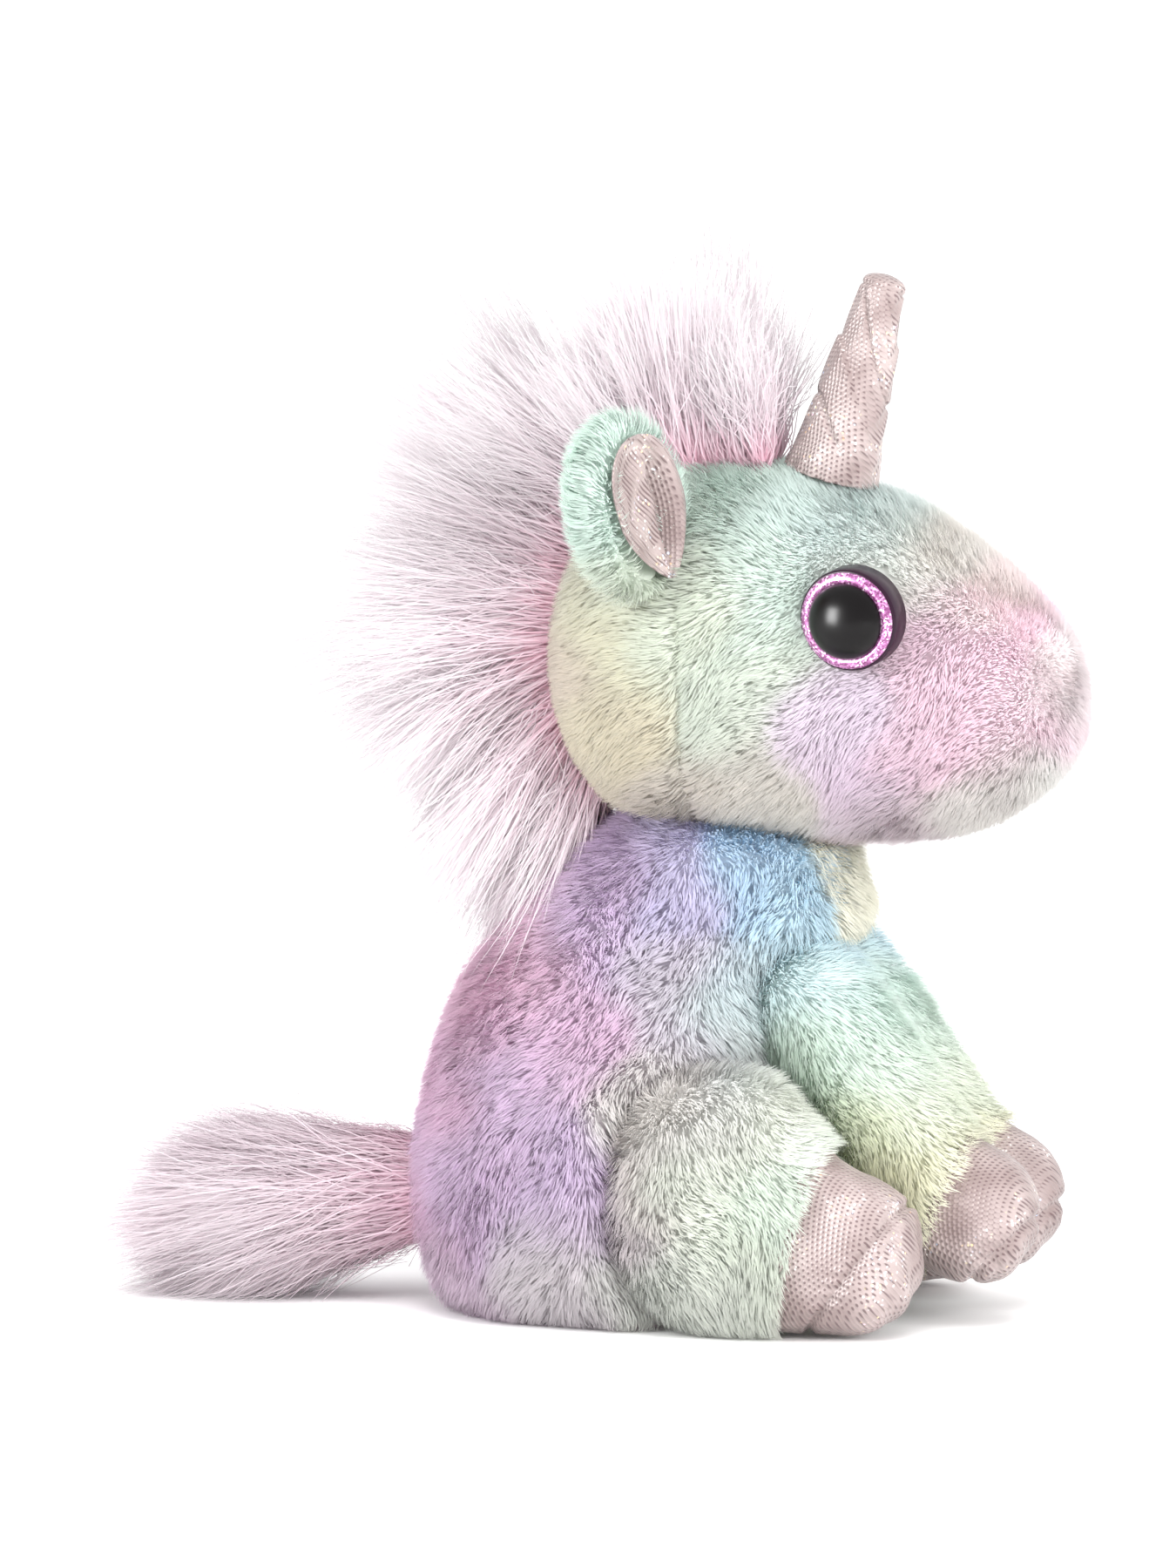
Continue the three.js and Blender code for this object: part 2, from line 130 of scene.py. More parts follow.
def unit(vectors):
    return vectors / np.maximum(np.linalg.norm(vectors, axis=-1, keepdims=True), 1e-12)


def mesh_object(name, points, faces_by_size, looks, smooth=True):
    mesh = bpy.data.meshes.new(name)
    mesh.vertices.add(len(points))
    mesh.vertices.foreach_set("co", np.asarray(points, np.float32).ravel())
    corners = np.concatenate([np.asarray(f, np.int32).ravel() for f in faces_by_size])
    sizes = np.concatenate([np.full(len(f), np.asarray(f).shape[1]) for f in faces_by_size])
    mesh.loops.add(len(corners))
    mesh.loops.foreach_set("vertex_index", corners)
    mesh.polygons.add(len(sizes))
    mesh.polygons.foreach_set("loop_start", (np.cumsum(sizes) - sizes).astype(np.int32))
    mesh.polygons.foreach_set("use_smooth", np.full(len(sizes), smooth))
    mesh.update(calc_edges=True)
    made = bpy.data.objects.new(name, mesh)
    bpy.context.scene.collection.objects.link(made)
    mesh.materials.append(looks)
    return made


def arrays(piece):
    mesh = piece.data
    points = np.empty(len(mesh.vertices) * 3, np.float32)
    mesh.vertices.foreach_get("co", points)
    normals = np.empty(len(mesh.vertices) * 3, np.float32)
    mesh.vertex_normals.foreach_get("vector", normals)
    mesh.calc_loop_triangles()
    triangles = np.empty(len(mesh.loop_triangles) * 3, np.int32)
    mesh.loop_triangles.foreach_get("vertices", triangles)
    return points.reshape(-1, 3).astype(float), normals.reshape(-1, 3).astype(float), triangles.reshape(-1, 3)


def set_points(piece, points):
    piece.data.vertices.foreach_set("co", np.asarray(points, np.float32).ravel())
    piece.data.update()


def colour_layer(piece, name, colours):
    layer = piece.data.color_attributes.new(name, "FLOAT_COLOR", "POINT")
    full = np.ones((len(colours), 4), np.float32)
    full[:, :3] = colours
    layer.data.foreach_set("color", full.ravel())


def number_layer(piece, name, values):
    layer = piece.data.attributes.new(name, "FLOAT", "POINT")
    layer.data.foreach_set("value", np.asarray(values, np.float32))


# %% [markdown]
# ## The dye and its painted shade
# The pile is white fabric tie-dyed in soft spots that run into each other. Each spot below is a
# place on the sewn shape (mm ahead of the origin, mm up), how far it reaches, and its colour.
# Spots are blended by distance, and a slow wobble keeps their edges from looking drawn. The greyer, darker
# spots low at the back of the head, at the hip and near the floor hold painted shade as well as dye.

# %% Dye spots
# Painted shade: the greyer, darker spot colours low at the back of the head, at the hip and near the floor in
# these tables stand in for shade.
HEAD_SPOTS = [
    (28, 203, 15, "#cdeadb"), (47, 194, 13, "#cfe6e2"), (33, 176, 13, "#d2ebdc"), (72, 192, 13, "#ece2d8"),
    (86, 178, 11, "#f2ddd8"), (60, 182, 10, "#dde6dd"), (12, 174, 14, "#dfead0"), (-5, 163, 14, "#e6e2bd"),
    (-6, 142, 13, "#d6c9a6"), (-18, 156, 11, "#cdb9a4"), (28, 152, 14, "#d6e4cf"), (28, 132, 13, "#d8d0c4"),
    (14, 124, 12, "#c9bcab"), (50, 147, 11, "#e9d2ea"), (72, 160, 12, "#f0c3da"), (86, 152, 13, "#fac9df"),
    (94, 145, 11, "#f6cfdf"), (101, 162, 9, "#eadcdc"), (104, 146, 8, "#e4e2dc"), (97, 128, 10, "#dfe2da"),
    (84, 124, 11, "#e3dcd6"), (62, 122, 12, "#dcc4cc"), (56, 135, 12, "#e4c6e2"), (-16, 182, 14, "#dfe0c8"),
    (4, 196, 14, "#d3e8d6"), (74, 142, 11, "#f6c6dc"),
]
BODY_SPOTS = [
    (-10, 111, 12, "#b993c4"), (8, 109, 12, "#bfb4e0"), (30, 107, 13, "#a4cdf0"), (44, 104, 12, "#abd7f0"),
    (38, 88, 12, "#b3dcea"), (-24, 92, 14, "#e8adcf"), (-36, 78, 14, "#e4a9ca"), (-9, 90, 12, "#d3b4e0"),
    (-15, 72, 14, "#e6b4dc"), (-28, 56, 15, "#d9b4de"), (-38, 36, 16, "#caa3cf"), (-18, 36, 15, "#cfb0dc"),
    (-18, 14, 13, "#cdc2c8"), (12, 80, 13, "#cbbfd0"), (26, 76, 12, "#c4dcdc"), (12, 56, 14, "#d8d2cc"),
    (-54, 30, 12, "#d99cc4"), (-48, 10, 12, "#c9a9c4"), (20, 12, 15, "#d5d8cc"), (-50, 56, 14, "#e0a5cc"),
    (36, 74, 12, "#c3e0e6"), (24, 62, 12, "#d4d6d2"),
]
HIND_LEG_SPOTS = [
    (6, 62, 13, "#e3ddd6"), (2, 42, 13, "#dccfcb"), (22, 38, 14, "#dde4d2"), (28, 20, 13, "#d3e0c8"),
    (14, 8, 13, "#c9cfc4"), (36, 52, 12, "#e0e6d4"), (42, 34, 11, "#d8ecd6"), (-6, 24, 10, "#d2c2c8"),
]
FRONT_LEG_SPOTS = [
    (32, 80, 13, "#c3e3e2"), (50, 72, 13, "#d2eee0"), (46, 60, 12, "#d5f0d4"), (56, 50, 12, "#e6efc2"),
    (60, 40, 11, "#eeeab4"), (70, 36, 11, "#eeecc8"), (74, 58, 12, "#e2ecd2"), (62, 64, 12, "#dcf0dc"),
    (32, 90, 11, "#b3dcee"), (44, 92, 10, "#b9dff0"), (22, 70, 11, "#cdd8dc"),
]
EAR_SPOTS = [(0, 200, 16, "#c6e4d4"), (2, 178, 10, "#cfdcc4")]


FIBRE_DEPTH = 0.46  # light crosses several fibres on its way, so one fibre is paler than the coat


def mix_dye_and_painted_shade(points, spots):
    ahead = -points[:, 1] / MM
    height = points[:, 2] / MM
    wobble = 3.5 * np.sin(height / 6.3 + ahead / 11.0) + 2.0 * np.sin(ahead / 3.7 - height / 5.1)
    ahead = ahead + wobble
    height = height + 2.6 * np.sin(ahead / 7.9) + 1.4 * np.sin(height / 2.9 + points[:, 0] / MM / 4)
    total = np.full(len(points), 1e-9)
    mixed = np.zeros((len(points), 3))
    for spot_ahead, spot_height, reach, colour in spots:
        away = ((ahead - spot_ahead) ** 2 + (height - spot_height) ** 2) / reach ** 2
        weight = np.exp(-away * 1.6) + 1e-6 / (1 + away)
        total += weight
        mixed += weight[:, None] * np.array(linear(colour))
    return (mixed / total[:, None]) ** FIBRE_DEPTH


# %% [markdown]
# The chest has a narrow cream panel let in between the two sides, with a clear seam edge.

# %% Chest panel
CHEST_CREAM = "#ece8cc"
CHEST_HALF_WIDE = 18.5


def chest_panel(points, colours):
    ahead, height, across = -points[:, 1] / MM, points[:, 2] / MM, np.abs(points[:, 0]) / MM
    inside = np.clip((CHEST_HALF_WIDE - across) / 2, 0, 1) * np.clip((ahead - 34) / 5, 0, 1)
    inside *= np.clip((height - 80) / 8, 0, 1)
    cream = np.array(linear(CHEST_CREAM)) ** FIBRE_DEPTH
    return colours + inside[:, None] * (cream - colours)


# %% [markdown]
# ## Pile and hair materials
# Polyester plush pile: fine crimped fibres, milky and matt, that glow a little at the edge. The colour
# is the dye with painted shade, darkened towards the roots in the gaps between tufts, and paler tips. Long
# faux hair is silkier, so it is less rough and takes a soft streak of light.

# %% Pile and hair materials
def fibre_surface(tree, colour, glow_through, roughness, sheen, specular):
    skin = node(tree, "ShaderNodeBsdfPrincipled", {
        "Base Color": colour, "Roughness": roughness, "Sheen Weight": sheen, "Sheen Roughness": 0.5,
        "Specular IOR Level": specular, "IOR": 1.5})
    through = node(tree, "ShaderNodeBsdfTranslucent", {"Color": colour})
    both = node(tree, "ShaderNodeMixShader", {0: glow_through, 1: skin.outputs[0], 2: through.outputs[0]})
    node(tree, "ShaderNodeOutputMaterial", {"Surface": both.outputs[0]})


def pile_material(name, painted_root_shade, sheen):
    made, tree = material(name)
    dye_and_shade = node(tree, "ShaderNodeAttribute", attribute_name="dye_and_shade")
    along = node(tree, "ShaderNodeAttribute", attribute_name="along")
    tint = node(tree, "ShaderNodeAttribute", attribute_name="tint")
    # Painted shade: the colour is darkened towards the strip roots and on the backing, in the gaps between
    # tufts; the tips are a little paler.
    depth = node(tree, "ShaderNodeMapRange", {"Value": along.outputs["Fac"], "To Min": painted_root_shade,
                                              "To Max": 1.05})
    tuft = node(tree, "ShaderNodeMapRange", {"Value": tint.outputs["Fac"], "To Min": 0.93, "To Max": 1.05})
    shade = node(tree, "ShaderNodeMath", {0: depth.outputs[0], 1: tuft.outputs[0]}, operation="MULTIPLY")
    colour = node(tree, "ShaderNodeVectorMath", {0: dye_and_shade.outputs["Color"], "Scale": shade.outputs[0]},
                  operation="SCALE")
    fibre_surface(tree, colour.outputs[0], 0.56, 0.85, sheen, 0.15)
    return made


plush_pile = pile_material("dyed_plush_pile", 0.92, 0.2)
plush_backing = pile_material("knitted_pile_backing", 0.92, 0.1)


def hair_material(name, depth, stops):
    made, tree = material(name)
    along = node(tree, "ShaderNodeAttribute", attribute_name="along")
    tint = node(tree, "ShaderNodeAttribute", attribute_name="tint")
    colours = ramp(tree, along.outputs["Fac"], stops)
    tuft = node(tree, "ShaderNodeMapRange", {"Value": tint.outputs["Fac"], "To Min": 0.82 * depth,
                                             "To Max": 1.12 * depth})
    colour = node(tree, "ShaderNodeVectorMath", {0: colours.outputs["Color"], "Scale": tuft.outputs[0]},
                  operation="SCALE")
    fibre_surface(tree, colour.outputs[0], 0.45, 0.6, 0.2, 0.3)
    return made


mane_hair_looks = hair_material("silky_mane_hair", 0.9, [
    (0.0, "#eeb2c8"), (0.12, "#f3ccda"), (0.32, "#f1e1e8"), (0.75, "#f0e8ec"), (1.0, "#f1edef")])
tail_hair_looks = hair_material("silky_tail_hair", 0.83, [
    (0.0, "#f8cfe0"), (0.1, "#f8dae7"), (0.3, "#f5e2ea"), (0.8, "#f0e4ea"), (1.0, "#ece4e8")])


# %% [markdown]
# ## Foil-dot fabric
# Thin knit printed with a honeycomb of foil dots about 0.8 mm apart, rose silver, with dark
# pinholes between them. Each dot sits at its own angle in the bump; the white and pale rainbow flashes of
# some dots are painted glints in the colour.
# The dots are spaced 1.0 mm apart so that they still show when the whole toy is seen. They are drawn
# as crossed waves in space, made for sideways faces. On faces that look ahead they turn into rings.

# %% Foil-dot material
FOIL_WAYS = [(0.5, 1.0, 0.0), (0.5, -0.5, 0.87), (-0.9, -0.5, -0.87)]


def foil_material(name, pitch_mm, base, pale, pinhole):
    made, tree = material(name)
    place = node(tree, "ShaderNodeTexCoord")
    scale = 1 / (pitch_mm * MM)
    sums = None
    for way in FOIL_WAYS:
        run = node(tree, "ShaderNodeVectorMath", {0: place.outputs["Object"],
                                                  1: [v * 2 * math.pi * scale * 0.866 for v in way]},
                   operation="DOT_PRODUCT")
        wave = node(tree, "ShaderNodeMath", {0: run.outputs["Value"]}, operation="COSINE").outputs[0]
        if sums is None:
            sums = wave
        else:
            sums = node(tree, "ShaderNodeMath", {0: sums, 1: wave}, operation="ADD").outputs[0]
    patches = node(tree, "ShaderNodeTexNoise", {"Vector": place.outputs["Object"], "Scale": 70.0,
                                                "Detail": 2.0})
    patch = node(tree, "ShaderNodeMapRange", {"Value": patches.outputs[0], "From Min": 0.36,
                                              "From Max": 0.66})
    ground = node(tree, "ShaderNodeMix", {"Factor": patch.outputs[0], 6: rgba(base), 7: rgba(pale)},
                  data_type="RGBA")
    hole = node(tree, "ShaderNodeMapRange", {"Value": sums, "From Min": 0.6, "From Max": 2.0,
                                             "To Min": 0.0, "To Max": 0.75})
    holed = node(tree, "ShaderNodeMix", {"Factor": hole.outputs[0], 6: ground.outputs[2], 7: rgba(pinhole)},
                 data_type="RGBA")
    flakes = node(tree, "ShaderNodeTexVoronoi", {"Vector": place.outputs["Object"], "Scale": scale * 1.25})
    pick = node(tree, "ShaderNodeSeparateColor", {"Color": flakes.outputs["Color"]})
    chance = node(tree, "ShaderNodeMath", {0: pick.outputs[0], 1: patch.outputs[0]}, operation="MULTIPLY")
    # Painted glints: a share of the flake cells, more in the pale patches, is mixed to white or a pale
    # rainbow colour in the base colour.
    painted_glint_odds = node(tree, "ShaderNodeMapRange", {"Value": chance.outputs[0], "From Min": 0.52, "From Max": 0.72})
    near = node(tree, "ShaderNodeMapRange", {"Value": flakes.outputs["Distance"], "From Min": 0.25,
                                             "From Max": 0.5, "To Min": 1.0, "To Max": 0.0})
    painted_glint = node(tree, "ShaderNodeMath", {0: painted_glint_odds.outputs[0], 1: near.outputs[0]}, operation="MULTIPLY")
    painted_glint_colour = ramp(tree, pick.outputs[1], [(0.0, "#ffffff"), (0.4, "#fdf6f0"), (0.58, "#c3dcff"),
                                       (0.72, "#ffc79a"), (0.86, "#fff0ad"), (1.0, "#f3c8ff")])
    colour = node(tree, "ShaderNodeMix", {"Factor": painted_glint.outputs[0], 6: holed.outputs[2],
                                          7: painted_glint_colour.outputs["Color"]}, data_type="RGBA")
    tilt = node(tree, "ShaderNodeMath", {0: pick.outputs[2], 1: 0.5, 2: sums},
                operation="MULTIPLY_ADD")
    bump = node(tree, "ShaderNodeBump", {"Height": tilt.outputs[0], "Strength": 0.35, "Distance": 0.0002})
    surface(tree, Base_Color=colour.outputs[2], Metallic=0.08, Roughness=0.42, Normal=bump.outputs[0],
            Sheen_Weight=0.1)
    return made


foil_fabric = foil_material("rose_foil_dot_fabric", 1.0, "#837371", "#a59795", "#4c3438")


# %% [markdown]
# ## Skins
# Each stuffed piece starts as a copy of its CAD stuffing. It is remeshed, smoothed and puffed by a
# short cloth run under inside pressure, the way fill rounds out a sewn cover, then drawn in at seams.

# %% Skins
def smoothed(piece, rounds, keep):
    mesh = piece.data
    edges = np.empty(len(mesh.edges) * 2, np.int32)
    mesh.edges.foreach_get("vertices", edges)
    edges = edges.reshape(-1, 2)
    points = arrays(piece)[0]
    count = np.bincount(edges.ravel(), minlength=len(points))[:, None]
    for turn in range(rounds * 2):
        total = np.zeros_like(points)
        np.add.at(total, edges[:, 0], points[edges[:, 1]])
        np.add.at(total, edges[:, 1], points[edges[:, 0]])
        step = 0.5 if turn % 2 == 0 else -0.5 * keep
        points += step * (total / np.maximum(count, 1) - points)
    set_points(piece, points)


def baked(piece):
    graph = bpy.context.evaluated_depsgraph_get()
    mesh = bpy.data.meshes.new_from_object(piece.evaluated_get(graph))
    piece.modifiers.clear()
    old = piece.data
    piece.data = mesh
    bpy.data.meshes.remove(old)


def puffed(piece, most_mm):
    before = arrays(piece)[0]
    cloth = piece.modifiers.new("cloth", "CLOTH")
    settings = cloth.settings
    settings.quality = 4
    settings.mass = 0.2
    settings.tension_stiffness = 18
    settings.compression_stiffness = 18
    settings.bending_stiffness = 1.5
    settings.use_pressure = True
    settings.uniform_pressure_force = 4
    settings.effector_weights.gravity = 0
    cloth.point_cache.frame_start = 1
    cloth.point_cache.frame_end = 20
    for number in range(1, 21):
        bpy.context.scene.frame_set(number)
    graph = bpy.context.evaluated_depsgraph_get()
    result = piece.evaluated_get(graph).data
    after = np.empty(len(result.vertices) * 3, np.float32)
    result.vertices.foreach_get("co", after)
    bpy.context.scene.frame_set(1)
    piece.modifiers.clear()
    move = after.reshape(-1, 3) - before
    size = np.linalg.norm(move, axis=1, keepdims=True)
    move *= np.minimum(1, most_mm * MM / np.maximum(size, 1e-9))
    set_points(piece, before + move)
    return float(size.mean() / MM)


def skin_from(name, stuffing, cell_mm, swell_mm, looks, puff_mm=1.2):
    piece = bpy.data.objects.new(name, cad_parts[stuffing].data.copy())
    bpy.context.scene.collection.objects.link(piece)
    piece.data.materials.clear()
    piece.data.materials.append(looks)
    remesh = piece.modifiers.new("remesh", "REMESH")
    remesh.mode = "VOXEL"
    remesh.voxel_size = cell_mm * MM
    baked(piece)
    smoothed(piece, 5, 0.9)
    points, normals, _ = arrays(piece)
    set_points(piece, points + normals * swell_mm * MM)
    moved = puffed(piece, puff_mm)
    finer = piece.modifiers.new("finer", "SUBSURF")
    finer.levels = 1
    baked(piece)
    piece.data.polygons.foreach_set("use_smooth", np.full(len(piece.data.polygons), True))
    piece.data.update()
    print(name, len(piece.data.vertices), "points, puffed", round(moved, 2), "mm")
    return piece


def keep_faces(piece, wanted):
    mesh = piece.data
    points = arrays(piece)[0]
    picked = [p for p in mesh.polygons if wanted(points[list(p.vertices)].mean(axis=0))]
    quads = [list(p.vertices) for p in picked if len(p.vertices) == 4]
    others = [list(p.vertices) for p in picked if len(p.vertices) == 3]
    groups = [np.array(g, np.int32) for g in (quads, others) if g]
    used = np.unique(np.concatenate([g.ravel() for g in groups]))
    new_index = np.zeros(len(points), np.int32)
    new_index[used] = np.arange(len(used))
    return points[used], [new_index[g] for g in groups]


LEGS = [(kind, side_name) for side_name in ("right", "left") for kind in ("front", "hind")]
head_skin = skin_from("head_skin", "head_stuffing", 3.4, 1.5, plush_backing)
body_skin = skin_from("body_skin", "body_stuffing", 3.2, 1.5, plush_backing)
leg_skins = {leg: skin_from(f"{leg[0]}_leg_{leg[1]}_whole", f"{leg[0]}_leg_stuffing_{leg[1]}", 2.6, 1.5,
                            plush_backing, 0.8) for leg in LEGS}


# %% [markdown]
# ## Sewn roots
# Where a leg is sewn in, the body cover is drawn up to it, so body and leg meet in a shallow valley.
# Body points beside a leg are lifted, the more the nearer they lie.

# %% Lift the body cover beside the legs
def solid_tree(piece):
    points, _, triangles = arrays(piece)
    return BVHTree.FromPolygons([Vector(p) for p in points], [list(map(int, t)) for t in triangles])


def lift_beside(piece, neighbour, most_mm, reach_mm):
    points, normals, _ = arrays(piece)
    tree = solid_tree(neighbour)
    for number, point in enumerate(points):
        place, way, _, away = tree.find_nearest(Vector(point), 3 * reach_mm * MM)
        if place is not None and (Vector(point) - place).dot(way) > 0:
            lift = most_mm * MM * math.exp(-(away / (reach_mm * MM)) ** 2)
            points[number] += normals[number] * min(lift, 0.8 * away + 0.3 * MM)
    set_points(piece, points)


ROOT_LIFTS = {"front": (5.5, 9.0), "hind": (8.0, 11.0)}
for (kind, _), leg_skin in leg_skins.items():
    lift_beside(body_skin, leg_skin, *ROOT_LIFTS[kind])
smoothed(body_skin, 2, 0.9)


# %% [markdown]
# ## Growing the pile
# Pile is cut polyester yarn about 6 mm long, standing in the knit and brushed one way. Every strip
# starts on the skin, leans with the brushing, and leans towards its tuft, so the coat breaks into small
# locks with shaded gaps. Strips are a few times wider than yarn, and shade like the skin under them.

# %% Pile
seeds = np.random.default_rng(20)


def scattered(piece, per_mm2, wanted=None):
    points, normals, triangles = arrays(piece)
    a, b, c = (points[triangles[:, k]] for k in range(3))
    areas = np.linalg.norm(np.cross(b - a, c - a), axis=1) / 2
    count = int(areas.sum() * 1e6 * per_mm2)
    chosen = np.searchsorted(np.cumsum(areas) / areas.sum(), seeds.random(count))
    chosen = np.minimum(chosen, len(areas) - 1)
    u, v = seeds.random((2, count, 1))
    flip = (u + v) > 1
    u, v = np.where(flip, 1 - u, u), np.where(flip, 1 - v, v)
    corner = triangles[chosen]
    roots = a[chosen] + u * (b - a)[chosen] + v * (c - a)[chosen]
    facing = unit(normals[corner[:, 0]] * (1 - u - v) + normals[corner[:, 1]] * u + normals[corner[:, 2]] * v)
    if wanted is not None:
        kept = wanted(roots, facing)
        roots, facing = roots[kept], facing[kept]
    return roots, facing


def nearest(centres, points):
    tree = KDTree(len(centres))
    for number, centre in enumerate(centres):
        tree.insert(centre, number)
    tree.balance()
    return np.array([tree.find(point)[1] for point in points])


PRESSED_MM = 6.0


def room_over(roots, facing, neighbours):
    room = np.full(len(roots), PRESSED_MM)
    for tree in neighbours:
        for number, (root, way) in enumerate(zip(roots, facing)):
            hit = tree.ray_cast(Vector(root + way * 0.0002), Vector(way), PRESSED_MM * MM)
            if hit[3] is not None:
                room[number] = min(room[number], hit[3] / MM)
    return np.clip(room / PRESSED_MM, 0.16, 1)


BATCH = 60000


def grow_pile(name, piece, brushed, spots, per_mm2, length_mm, looks, wanted=None, shorter=None, tuft_mm=3.4,
              neighbours=(), tufting=0.7):
    roots, facing = scattered(piece, per_mm2 * (1), wanted)
    count = len(roots)
    brush = np.broadcast_to(brushed(roots, facing), roots.shape).astype(float)
    turn = 0.35 * np.sin(roots[:, 2] / MM / 7 + roots[:, 1] / MM / 9) + 0.3 * np.sin(roots[:, 1] / MM / 4.3)
    flow = unit(brush - (brush * facing).sum(1, keepdims=True) * facing)
    side = np.cross(facing, flow)
    flow = flow * np.cos(turn)[:, None] + side * np.sin(turn)[:, None]
    tufts = roots[seeds.choice(count, max(8, int(count / (per_mm2 * tuft_mm ** 2))), replace=False)]
    member = nearest(tufts, roots)
    tuft_lean = seeds.normal(0, 0.3 * tufting, (len(tufts), 3))
    tuft_tint = seeds.random(len(tufts))
    tuft_length = 1 + 0.32 * tufting * (seeds.random(len(tufts)) - 0.5)
    length = length_mm * MM * tuft_length[member] * (0.8 + 0.35 * seeds.random(count))
    length *= room_over(roots, facing, neighbours)
    if shorter is not None:
        length = length * shorter(roots)
    length = length[:, None]
    lean = flow + tuft_lean[member] + seeds.normal(0, 0.16, (count, 3))
    lean = lean - (lean * facing).sum(1, keepdims=True) * facing
    start = roots - facing * 0.2 * MM
    middle = roots + facing * length * 0.48 + lean * length * 0.2
    tip = roots + facing * length * 0.78 + lean * length * 0.56
    gather = (tufts[member] - roots) * np.minimum(1, length / (4 * MM))
    middle += gather * 0.1 * tufting
    tip += gather * 0.38 * tufting
    side = unit(np.cross(facing, tip - start)) * MM
    wide = 0.15 + 0.06 * seeds.random((count, 1))
    rows = [start - side * wide, start + side * wide,
            middle - side * wide * 0.9, middle + side * wide * 0.9, tip]
    shading = unit(facing + 0.3 * unit(lean) + seeds.normal(0, 0.08, (count, 3)))
    tint = 0.5 * tuft_tint[member] + 0.5 * seeds.random(count)
    dye_and_shade = mix_dye_and_painted_shade(roots, spots) if spots is not BODY_SPOTS else chest_panel(roots, mix_dye_and_painted_shade(roots, spots))
    made = []
    for first in range(0, count, BATCH):
        part = slice(first, first + BATCH)
        points = np.stack([row[part] for row in rows], axis=1).reshape(-1, 3)
        points[:, 2] = np.maximum(points[:, 2], 0.0003)
        number = len(points) // 5
        base = (np.arange(number) * 5)[:, None]
        label = name if count <= BATCH else f"{name}_{first // BATCH + 1}"
        faces = [base + np.array([1, 0, 2, 3]), base + np.array([3, 2, 4])]
        strips = mesh_object(label, points, faces, looks)
        strips.data.normals_split_custom_set_from_vertices(np.repeat(shading[part], 5, axis=0))
        number_layer(strips, "tint", np.repeat(tint[part], 5))
        number_layer(strips, "along", np.tile([0.0, 0.0, 0.6, 0.6, 1.0], number))
        colour_layer(strips, "dye_and_shade", np.repeat(dye_and_shade[part], 5, axis=0))
        made.append(strips)
    print(name, count, "strips in", len(made), "pieces")
    return made


def dress_skin(piece, spots):
    points = arrays(piece)[0]
    colour_layer(piece, "dye_and_shade", mix_dye_and_painted_shade(points, spots))
    number_layer(piece, "along", np.zeros(len(points)))
    number_layer(piece, "tint", np.full(len(points), 0.5))


# %% [markdown]
# ## Head
# The head's pile is brushed back from the nose and a little down. It is clipped shorter on the
# muzzle and left off where the eyes press in.

# %% Head pile
eye_low, eye_high = (np.array(c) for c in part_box("eye_dome_right"))
eye_middle = (eye_low + eye_high) / 2
_, horn_high = (np.array(c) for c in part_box("horn_cover"))
neck_low, neck_high = (np.array(c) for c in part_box("neck_stuffing"))
neck_middle = (neck_low + neck_high) / 2


def around_eye(points):
    return np.hypot(points[:, 1] - eye_middle[1], points[:, 2] - eye_middle[2])


def head_wanted(points, facing):
    near_eye = (around_eye(points) < 11.2 * MM) & (np.abs(points[:, 0]) > 25 * MM)
    return ~near_eye


SIDE_SEAM_AHEAD = 14


def head_shorter(points):
    ahead = -points[:, 1] / MM
    muzzle = np.clip((ahead - 62) / 25, 0, 1)
    by_eye = np.clip((around_eye(points) / MM - 12) / 8, 0, 1)
    low = np.clip((178 - points[:, 2] / MM) / 8, 0, 1) * np.clip(np.abs(points[:, 0]) / MM / 20 - 0.5, 0, 1)
    seam = np.exp(-((ahead - SIDE_SEAM_AHEAD) / 1.3) ** 2) * low
    return (1 - 0.25 * muzzle) * (0.6 + 0.4 * by_eye) * (1 - 0.5 * seam)


def shape_head():
    points, normals, _ = arrays(head_skin)
    ahead, height, across = -points[:, 1] / MM, points[:, 2] / MM, np.abs(points[:, 0]) / MM
    bridge = np.clip((ahead - 40) / 18, 0, 1) * np.clip(normals[:, 2] * 1.5, 0, 1)
    bridge *= np.clip((34 - across) / 14, 0, 1)
    nose = np.clip((ahead - 80) / 14, 0, 1) * np.clip((height - 128) / 12, 0, 1)
    seam = np.exp(-((ahead - SIDE_SEAM_AHEAD) / 1.8) ** 2) * np.clip((178 - height) / 8, 0, 1)
    seam *= np.clip((across - 15) / 10, 0, 1)
    lift = 3.2 * bridge + 1.8 * nose * (1 - bridge) - 1.7 * seam
    set_points(head_skin, points + normals * (lift * MM)[:, None])


shape_head()
dress_skin(head_skin, HEAD_SPOTS)
head_tree, body_tree = solid_tree(head_skin), solid_tree(body_skin)
head_pile = grow_pile("head_pile", head_skin, lambda p, n: np.array([0, 1, -0.55]), HEAD_SPOTS, 3.8, 5.2,
                      plush_pile, head_wanted, head_shorter, neighbours=[body_tree], tufting=0.2)
for piece in (head_skin, *head_pile):
    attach(piece, "head")
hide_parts("head_cover", "head_stuffing")

# %% [markdown]
# ## Body and neck
# The body's pile is brushed down. It is left off under the seat, where the toy rests on the floor, and where
# the neck goes in.

# %% Body pile
def body_wanted(points, facing):
    away = np.hypot(points[:, 0], points[:, 1] - neck_middle[1])
    in_neck = (away < 18 * MM) & (points[:, 2] > 100 * MM)
    return ~in_neck & ~((points[:, 2] < 3 * MM) & (facing[:, 2] < -0.6))


